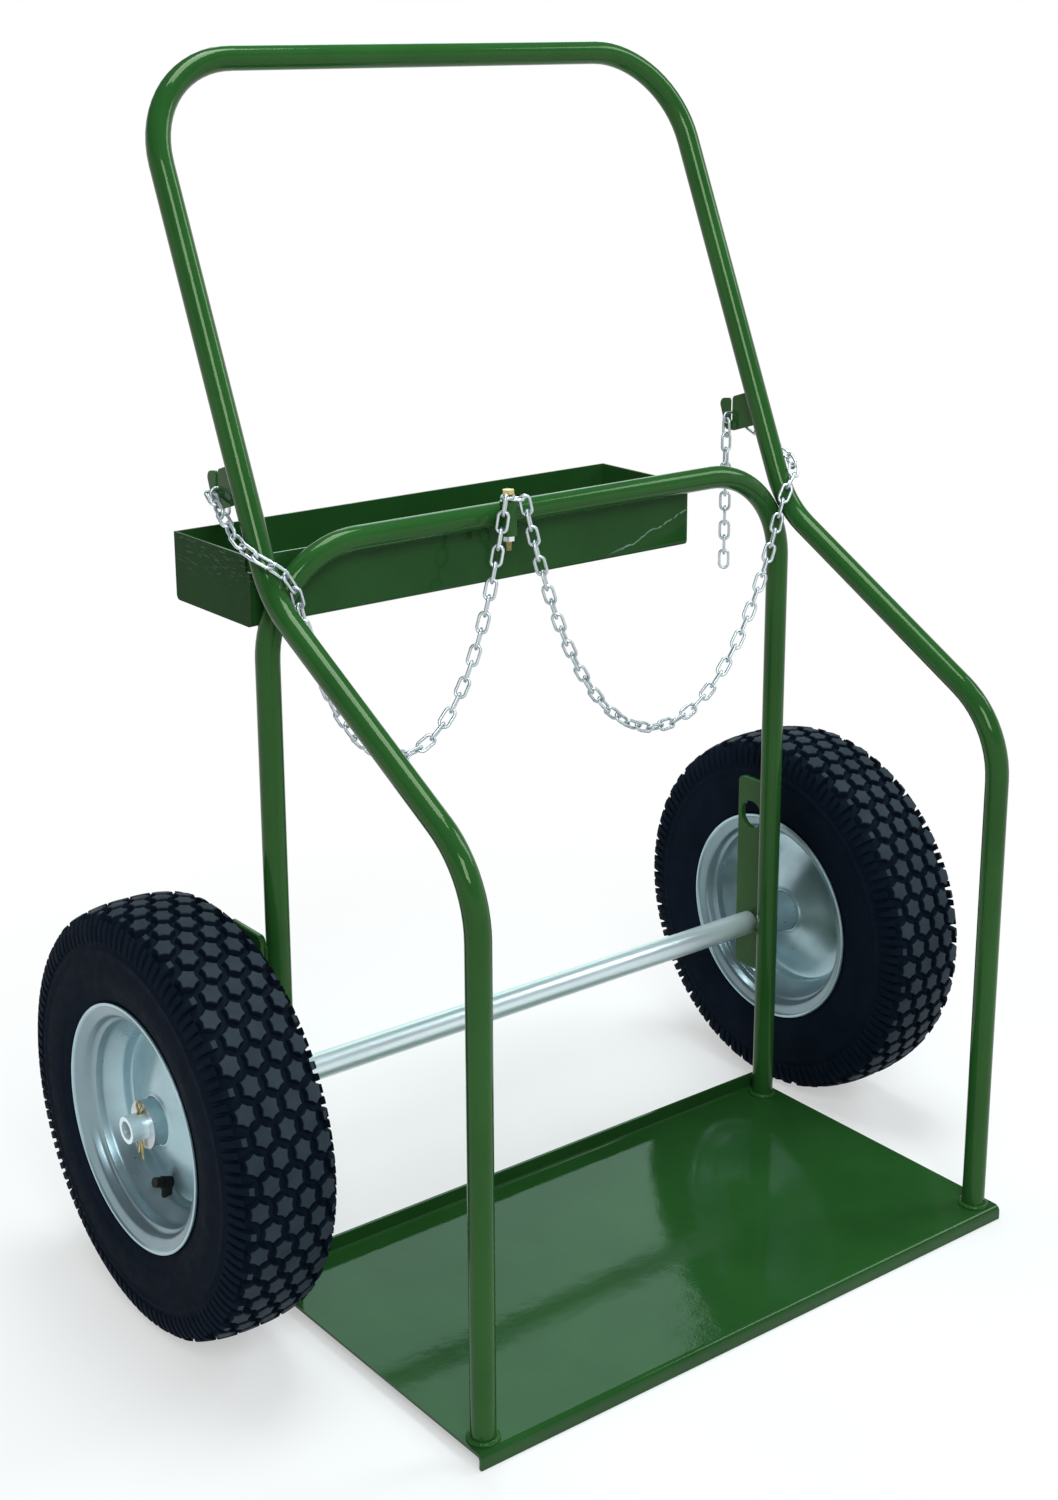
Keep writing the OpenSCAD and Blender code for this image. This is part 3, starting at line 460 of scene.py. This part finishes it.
# A split pin's wire in [y, z] pairs from the axle's middle
PIN_R, PIN_SIDES, PIN_SMOOTH = 0.00125, 12, 60
PIN_EYE_Z, PIN_EYE_HALF = 0.0192, (0.0038, 0.0046)
PIN_EYE_START, PIN_EYE_TURN, PIN_EYE_STEPS = 20, 320, 24
PIN_FRONT_LEG = [(-0.0040, -0.0318), (-0.0018, -0.0180), (-0.0013, -0.0140), (-0.0013, 0.0135)]
PIN_REAR_LEG = [(0.0013, 0.0135), (0.0013, -0.0140), (0.0022, -0.0180), (0.0052, -0.0290)]


def plate_mesh(name, rings, x, thick, soft):
    """A flat plate across X with softened edges.

    Its outline and the rings of its holes are given in [y, z] pairs.
    """
    curve = bpy.data.curves.new(name, "CURVE")
    curve.dimensions = "2D"
    curve.fill_mode = "BOTH"
    curve.bevel_depth = soft
    curve.bevel_resolution = EDGE_STEPS
    curve.extrude = thick / 2 - soft
    for ring in rings:
        spline = curve.splines.new("POLY")
        spline.points.add(len(ring) - 1)
        spline.use_cyclic_u = True
        for point, (y, z) in zip(spline.points, ring):
            point.co = (y, z, 0.0, 1.0)
    drawn = linked(name, curve)
    depsgraph = bpy.context.evaluated_depsgraph_get()
    mesh = bpy.data.meshes.new_from_object(drawn.evaluated_get(depsgraph))
    bpy.data.objects.remove(drawn)
    mesh.transform(Matrix(((0, 0, 1, x), (1, 0, 0, 0), (0, 1, 0, 0), (0, 0, 0, 1))))
    mesh.name = name
    return mesh


def arc(centre, radius, start, turn, steps=CORNER_STEPS):
    """Points of an arc, its angles in degrees."""
    angles = [math.radians(start + turn * k / steps) for k in range(steps + 1)]
    return [(centre[0] + radius * math.cos(a), centre[1] + radius * math.sin(a)) for a in angles]


def bracket_rings():
    """A bar with rounded corners and its two holes."""
    low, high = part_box("left_axle_bracket")
    y0, y1 = BRACKET_FRONT + SOFT_EDGE, high[1] - SOFT_EDGE
    z0, z1 = low[2] + SOFT_EDGE, high[2] - SOFT_EDGE
    r = CORNER_R
    outline = []
    for cy, cz, start in ((y1 - r, z1 - r, 0), (y0 + r, z1 - r, 90),
                          (y0 + r, z0 + r, 180), (y1 - r, z0 + r, 270)):
        outline += arc((cy, cz), r, start, 90)
    holes = ((AXLE_Z, AXLE_HOLE_R), (LIFTING_HOLE_Z, LIFTING_HOLE_R))
    return [outline] + [arc((AXLE_Y, z), radius, 0, 360, HOLE_STEPS)[:-1] for z, radius in holes]


def tab_rings():
    """A plate square to the raked side tube, with an upright slot that holds the chain."""
    floor = SLOT_LOW + SLOT_HALF
    outline = TAB_TOP + [(SLOT_Y - SLOT_HALF, SLOT_TOP[0]), (SLOT_Y - SLOT_HALF, floor)]
    outline += arc((SLOT_Y, floor), SLOT_HALF, 180, 180)
    outline += [(SLOT_Y + SLOT_HALF, SLOT_TOP[1])] + TAB_LIP
    outline += arc(TAB_NOSE, TAB_NOSE_R, 80, -95) + TAB_FRONT
    outline += arc(TAB_CHIN, TAB_CHIN_R, 0, -90) + TAB_LOW
    return [outline]


def pin_line():
    """The wire of a split pin, from one leg round the eye to the other."""
    eye = []
    for k in range(PIN_EYE_STEPS + 1):
        a = math.radians(PIN_EYE_START + PIN_EYE_TURN * k / PIN_EYE_STEPS)
        eye.append((PIN_EYE_HALF[0] * math.sin(a), PIN_EYE_Z - PIN_EYE_HALF[1] * math.cos(a)))
    return PIN_FRONT_LEG + eye[::-1] + PIN_REAR_LEG


def make_brackets(material):
    for side, word in SIDES:
        name = word + "_bracket_plate"
        mesh = plate_mesh(name, bracket_rings(), side * BRACKET_X, BRACKET_T, SOFT_EDGE)
        piece = new_object(name, mesh, material, "frame")
        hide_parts(word + "_axle_bracket")


def make_tabs(material):
    for side, word in SIDES:
        name = word + "_slotted_tab"
        mesh = plate_mesh(name, tab_rings(), side * LEG_X, TAB_T, SLOT_EDGE)
        piece = new_object(name, mesh, material, "frame")
        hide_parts(word + "_chain_tab")


def make_cotters(material):
    """Split pins: a round eye on top and two legs bent a little apart below the axle."""
    for side, word in SIDES:
        points = [(side * COTTER_X, AXLE_Y + y, AXLE_Z + z) for y, z in pin_line()]
        verts, faces = sweep(points, PIN_R, False, ripple=0.0, sides=PIN_SIDES)
        name = word + "_split_pin"
        mesh = mesh_of(name, verts, faces, PIN_SMOOTH)
        piece = new_object(name, mesh, material, "frame")
        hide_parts(word + "_cotter_pin")


# Tyres

ROWS = 58
ROW_STEP = 2 * math.pi / ROWS
COLUMN = 0.01115
ODD_ROW, EVEN_ROW = (-3, -1, 1, 3), (-2, 0, 2)  # places of a row's blocks, in columns
TYRE_STEPS, TYRE_SMOOTH = 174, 32

# Half of the section in [x, radius] pairs of millimetres: the outside from the tread's middle
# to the bead, and the inside back to the middle
OUTER = [
    (0.0, 194.2), (9, 194.0), (18, 193.2), (26, 191.9), (34, 189.8), (40, 187.0), (44.5, 183.2),
    (47.4, 178.0), (48.9, 172.0), (49.6, 166.5), (50.2, 165.6), (50.7, 164.6), (50.8, 163.0),
    (50.4, 161.8), (50.6, 156.0), (50.9, 150.0), (50.9, 143.0), (50.5, 136.0), (49.8, 130.0),
    (49.3, 128.8), (49.2, 127.4), (48.6, 124.0), (47.6, 120.0), (46.4, 117.2), (45.7, 115.6),
    (45.2, 113.4), (44.0, 111.4)]
INNER = [(33.7, 101.9), (37.0, 121.0), (44.6, 154.0), (41.5, 172.0), (25.5, 184.0), (0.0, 185.0)]
CARCASS = INNER[::-1] + OUTER[::-1]

# Radius of the block tops: level in the middle, falling to the sides and more at the shoulder
CROWN_R, CROWN_FLAT, CROWN_SPAN, CROWN_FALL = 0.200, 0.0084, 0.0336, 0.0052
SHOULDER_X, SHOULDER_FALL = 0.040, 55

# A block's outline in millimetres, across and along the tread
STAR = [(0.0, 11.2), (3.9, 7.7), (8.5, 5.9), (7.3, 0.0), (8.5, -5.9), (3.9, -7.7),
        (0.0, -11.2), (-3.9, -7.7), (-8.5, -5.9), (-7.3, 0.0), (-8.5, 5.9), (-3.9, 7.7)]
STAR_FOOT, STAR_RIM, STAR_TOP = 1.05, 0.90, 0.84
BLOCK_SUNK, BLOCK_CHAMFER = 0.0006, 0.0009
TREAD_R = 0.197

# A shoulder rib's top and foot lines in [x, radius] pairs of millimetres
LUG_TOP = [(37.5, 196.3), (41.5, 194.6), (45.2, 190.8),
           (48.0, 185.0), (49.8, 178.0), (50.4, 171.5)]
LUG_FOOT = [(36.5, 188.0), (39.5, 186.6), (42.8, 184.2),
            (45.6, 180.2), (47.4, 175.5), (48.6, 168.5)]
SHORT_LUG_FROM = 2
LUG_CORNERS = 4
# Half widths in millimetres, the loss of width from point to point, and how much wider the foot is
WIDE_LUG, NARROW_LUG, LUG_TAPER, LUG_FLARE = 3.6, 2.9, 0.07, 1.25


def crown(x):
    """Radius of the block tops at a distance x from the tyre's middle, in metres."""
    off = max(0.0, abs(x) - CROWN_FLAT) / CROWN_SPAN
    shoulder = max(0.0, abs(x) - SHOULDER_X) ** 2 * SHOULDER_FALL
    return CROWN_R - CROWN_FALL * off * off - shoulder


def ground(x):
    """Radius of the bottom of the grooves."""
    at = abs(x) * MM_PER_M
    (x0, r0), (x1, r1) = next(
        pair for pair in zip(OUTER, OUTER[1:]) if pair[0][0] <= at <= pair[1][0])
    return (r0 + (r1 - r0) * (at - x0) / (x1 - x0)) / MM_PER_M


def on_wheel(x, r, angle):
    """A point at a radius and an angle round the X axis."""
    return (x, r * math.cos(angle), r * math.sin(angle))


def block(x0, angle):
    """A six-pointed block with hollow sides, standing on the groove's bottom."""
    verts = []
    for scale, drop in ((STAR_FOOT, None), (STAR_RIM, BLOCK_CHAMFER), (STAR_TOP, 0.0)):
        for dx, ds in STAR:
            x = x0 + scale * dx / MM_PER_M
            r = ground(x) - BLOCK_SUNK if drop is None else crown(x) - drop
            verts.append(on_wheel(x, r, angle + scale * ds / MM_PER_M / TREAD_R))
    verts.append(on_wheel(x0, crown(x0), angle))
    n = len(STAR)
    faces = []
    for low in (0, n):
        high = low + n
        for k in range(n):
            m = (k + 1) % n
            faces.append((low + k, low + m, high + m, high + k))
    top, middle = 2 * n, 3 * n
    faces += [(top + k, top + (k + 1) % n, middle) for k in range(n)]
    return verts, faces


def lug(side, angle, half, long):
    """A rib that runs from the tread's edge down the tyre's shoulder."""
    start = 0 if long else SHORT_LUG_FROM
    line, foot = LUG_TOP[start:], LUG_FOOT[start:]
    verts, faces = [], []
    for i, ((x1, r1), (x0, r0)) in enumerate(zip(line, foot)):
        width = half * (1.0 - LUG_TAPER * i)
        flared = width * LUG_FLARE
        for x, r, w in ((x0, r0, flared), (x1, r1, width), (x1, r1, -width), (x0, r0, -flared)):
            verts.append(on_wheel(side * x / MM_PER_M, r / MM_PER_M, angle + w / r))
    n = LUG_CORNERS
    end = (len(line) - 1) * n
    for low in range(0, end, n):
        high = low + n
        faces += [(low + k, low + k + 1, high + k + 1, high + k) for k in range(n - 1)]
    faces += [tuple(range(n)), tuple(range(end, end + n))]
    return verts, faces


def revolved(half, steps):
    """A ring from one half of its section, in millimetres, mirrored at x = 0."""
    line = half + [(-x, r) for x, r in reversed(half) if x > 0]
    verts, faces, n = [], [], len(line)
    for i in range(steps):
        a = 2 * math.pi * i / steps
        verts += [on_wheel(x / MM_PER_M, r / MM_PER_M, a) for x, r in line]
    for i in range(steps):
        j = (i + 1) % steps
        for k in range(n):
            m = (k + 1) % n
            faces.append((i * n + k, i * n + m, j * n + m, j * n + k))
    return verts, faces


def at_wheel(mesh, side):
    mesh.transform(Matrix.Translation((side * WHEEL_X, AXLE_Y, AXLE_Z)))


def is_top(face):
    """Whether a face lies on top of a block, where the tread is worn and painted lighter as a
    highlight.
    """
    return math.hypot(face.center.y, face.center.z) > crown(face.center.x) - BLOCK_CHAMFER


def tyre_mesh(name):
    parts = [revolved(CARCASS, TYRE_STEPS)]
    for row in range(ROWS):
        angle = row * ROW_STEP
        spots = ODD_ROW if row % 2 else EVEN_ROW
        parts += [block(k * COLUMN, angle) for k in spots]
        for side, _ in SIDES:
            parts.append(lug(side, angle, WIDE_LUG, row % 2 == 0))
            parts.append(lug(side, angle + ROW_STEP / 2, NARROW_LUG, False))
    verts, faces = joined(parts)
    return mesh_of(name, verts, faces, TYRE_SMOOTH)


def make_tyres(material, worn):
    for side, word in SIDES:
        name = word + "_tread_tyre"
        mesh = tyre_mesh(name)
        tops = [int(is_top(face)) for face in mesh.polygons]
        at_wheel(mesh, side)
        piece = new_object(name, mesh, material, word + "_wheel")
        # The block tops take the worn material, which is also lighter as a painted highlight
        mesh.materials.append(worn)
        mesh.polygons.foreach_set("material_index", tops)
        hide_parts(word + "_tyre")


# Rims

RIM_STEPS, RIM_SMOOTH = 144, 38
# Half of the section in [x, radius] pairs of millimetres, from the hub out to the lip and back
RIM = [
    (22.0, 21.6), (23.0, 22.0), (23.5, 23.0), (23.0, 24.2), (21.9, 25.2), (20.9, 27.2),
    (10.6, 50.0), (4.6, 65.4), (3.0, 70.4), (2.2, 75.0), (2.1, 79.4), (2.6, 81.7), (4.0, 82.8),
    (5.8, 83.0), (9.6, 83.1), (11.6, 83.6), (13.2, 84.8), (23.6, 92.6), (25.4, 94.0), (27.4, 94.8),
    (32.8, 95.3), (34.0, 95.9), (34.9, 97.6), (36.0, 99.0), (37.4, 99.8), (42.0, 101.4),
    (43.5, 102.6), (44.7, 104.8), (46.4, 109.8), (47.0, 111.1), (47.7, 111.6), (48.6, 112.3),
    (49.0, 113.2), (48.9, 114.0), (48.4, 114.8), (47.6, 115.0), (46.8, 114.8), (46.2, 114.0),
    (45.2, 111.4), (43.4, 106.0), (42.0, 104.0), (36.6, 101.8), (34.8, 100.8), (33.4, 99.2),
    (32.2, 97.6), (27.0, 96.8), (24.6, 95.6), (14.0, 87.8), (12.4, 86.8), (10.4, 86.2)]


def make_rims(material):
    for side, word in SIDES:
        name = word + "_pressed_rim"
        verts, faces = revolved(RIM, RIM_STEPS)
        mesh = mesh_of(name, verts, faces, RIM_SMOOTH)
        at_wheel(mesh, side)
        piece = new_object(name, mesh, material, word + "_wheel")
        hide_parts(word + "_rim")


# Stage

FLOOR_HALF, FLOOR_Z = 60.0, -0.0004
FLOOR_CORNERS = ((-1, -1), (1, -1), (1, 1), (-1, 1))
PAPER_DARK, PAPER_LIGHT = (0.80, 0.80, 0.80), (0.84, 0.84, 0.84)
GLOW_REACH, GLOW_SHARE = (0.35, 1.1), (0.45, 1.0)  # distances from the middle, and glow there
SKY = ((0.21, WHITE), (0.36, (0.10, 0.105, 0.11, 1.0)))  # as it is seen, by height
FILL = (0.24, 0.245, 0.25, 1.0)  # as it lights the trolley
COOL, GREENISH = (0.90, 0.99, 1.0), (0.66, 1.0, 0.88)
# Name, place, aim, size, power and colour
LAMPS = (
    ("top", (0.3, 0.2, 3.6), (0.0, 0.0, 0.4), (1.6, 1.6), 86.0, COOL),
    ("front", (-1.6, -2.8, 2.9), (0.0, 0.0, 0.5), (1.4, 1.4), 82.0, COOL),
    ("side", (2.6, -0.9, 2.6), (0.0, 0.0, 0.5), (1.0, 1.6), 35.0, COOL),
    ("back", (1.935, 2.833, 2.3), (-0.1, -0.1, 0.0), (1.3, 1.8), 13.5, GREENISH))


def seen(tree):
    """1 for camera, glossy and transmission rays, which show the background."""
    path = tree.nodes.new("ShaderNodeLightPath")
    total = path.outputs["Is Camera Ray"]
    for name in ("Is Glossy Ray", "Is Transmission Ray"):
        node = tree.nodes.new("ShaderNodeMath")
        node.operation = "MAXIMUM"
        tree.links.new(total, node.inputs[0])
        tree.links.new(path.outputs[name], node.inputs[1])
        total = node.outputs["Value"]
    return total


def make_floor():
    """Pale paper that keeps the shadow near the trolley and runs out to the white background."""
    mesh = bpy.data.meshes.new("floor")
    corners = [(FLOOR_HALF * x, FLOOR_HALF * y, FLOOR_Z) for x, y in FLOOR_CORNERS]
    mesh.from_pydata(corners, [], [(0, 1, 2, 3)])
    floor = linked("floor", mesh)
    g = Graph("floor_paper")
    colour = g.ramp(g.noise(3.0), [(0.3, PAPER_DARK), (0.7, PAPER_LIGHT)])
    g.set(Base_Color=colour, Roughness=0.9, Specular_IOR_Level=0.1)
    away = g.node("VectorMath")
    away.operation = "LENGTH"
    g.link(g.place, away.inputs[0])
    glow = g.node("Emission")
    share = g.span(away.outputs["Value"], *GLOW_REACH, *GLOW_SHARE)
    pick = g.node("MixShader", Fac=g.times(share, seen(g.tree)))
    g.link(g.shader.outputs["BSDF"], pick.inputs[1])
    g.link(glow.outputs["Emission"], pick.inputs[2])
    g.link(pick.outputs["Shader"], g.tree.nodes["Material Output"].inputs["Surface"])
    mesh.materials.append(g.material)


def area_light(name, at, aim, size, power, colour):
    data = bpy.data.lights.new(name, "AREA")
    data.shape = "RECTANGLE"
    data.size, data.size_y = size
    data.energy = power
    data.color = colour
    lamp = linked(name, data)
    turn = (Vector(aim) - Vector(at)).to_track_quat("-Z", "Y")
    lamp.matrix_world = Matrix.Translation(at) @ turn.to_matrix().to_4x4()


def make_light():
    """A white sweep to the horizon under a dim ceiling, and soft lamps above."""
    world = bpy.data.worlds.new("world")
    bpy.context.scene.world = world
    world.use_nodes = True
    tree = world.node_tree
    back = tree.nodes["Background"]
    place = tree.nodes.new("ShaderNodeTexCoord").outputs["Generated"]
    split = tree.nodes.new("ShaderNodeSeparateXYZ")
    tree.links.new(place, split.inputs["Vector"])
    sky = tree.nodes.new("ShaderNodeValToRGB")
    for element, (at, colour) in zip(sky.color_ramp.elements, SKY):
        element.position, element.color = at, colour
    tree.links.new(split.outputs["Z"], sky.inputs["Fac"])
    pick = tree.nodes.new("ShaderNodeMix")
    pick.data_type = "RGBA"
    pick.inputs["A"].default_value = FILL
    tree.links.new(sky.outputs["Color"], pick.inputs["B"])
    tree.links.new(seen(tree), pick.inputs["Factor"])
    tree.links.new(pick.outputs["Result"], back.inputs["Color"])
    for lamp in LAMPS:
        area_light(*lamp)


# Looks by slot, with a look of its own for a few nodes

THREAD = (0.693, 0.0010)  # top and pitch of the chain bolt's thread
TUBE_TINT = (0.86, 1.0, 0.62, 1.0)
ALONG_X = (0.05, 1.0, 1.0)  # draws a texture out along the axle


def dress():
    """Gives each CAD node its material, and returns the materials by slot."""
    looks = {
        "green_enamel": enamel("green_enamel_gloss", 0.20, tint=TUBE_TINT),
        "bright_zinc": plated(
            "zinc_bright", (0.50, 0.56, 0.59), (0.66, 0.72, 0.75), (0.34, 0.48)),
        "yellow_zinc": plated(
            "zinc_yellow", (0.52, 0.40, 0.16), (0.72, 0.58, 0.28), (0.24, 0.40), thread=THREAD),
        "silver_paint": silver_paint("rim_silver"),
        "dark_steel": dark_paint("hub_dark"),
        "tyre": black_rubber(
            "tyre_rubber", (0.0046, 0.0084, 0.0160), (0.0072, 0.0120, 0.0215), (0.46, 0.62),
            dusty=0.10, gloss=0.010),
        "black_rubber": black_rubber(
            "soft_rubber", (0.0060, 0.0062, 0.0066), (0.0110, 0.0112, 0.0118), (0.42, 0.58),
            dusty=0.1),
        "black_plastic": black_rubber(
            "cap_plastic", (0.0065, 0.0066, 0.0070), (0.0110, 0.0112, 0.0116), (0.30, 0.44),
            dusty=0.08),
    }
    special = {
        # The plate, the tray and the tray's left end are darker copies of the green paint: painted
        # shade, deepest on the tray's left end.
        "base_plate": enamel("shaded_green_enamel_plate", 0.20, 0.80),
        "tool_tray": enamel("scuffed_shaded_tray_enamel", 0.10, 0.84, scuffed=True),
        "chain_nut": plated("zinc_nut", (0.72, 0.75, 0.76), (0.86, 0.88, 0.89), (0.34, 0.46)),
        "tray_end_left": enamel("scuffed_shaded_tray_end_enamel", 0.03, 0.66, scuffed=True),
        "axle": plated(
            "zinc_axle", (0.74, 0.87, 0.92), (0.86, 0.97, 1.0), (0.28, 0.42), ALONG_X, metal=0.65),
    }
    slots = {part["node"]: part["material_slot"] for part in frame["record"]["subparts"]}
    for name, obj in frame["nodes"].items():
        material = special.get(name) or looks[slots[name]]
        obj.data.materials.clear()
        obj.data.materials.append(material)
    return looks


make_camera()
looks = dress()
# Block tops: partly real wear and partly a painted highlight, lighter where light falls on the tops
worn_lit_tread = black_rubber(
    "tread_worn_and_lit", (0.020, 0.029, 0.039), (0.034, 0.046, 0.060), (0.50, 0.68), dusty=0.2, gloss=0.06)
make_tyres(looks["tyre"], worn_lit_tread)
make_rims(looks["silver_paint"])
make_brackets(looks["green_enamel"])
make_tabs(looks["green_enamel"])
make_cotters(looks["yellow_zinc"])
weld_beads(looks["green_enamel"])
make_floor()
make_light()
bpy.context.scene.view_settings.view_transform = "Standard"
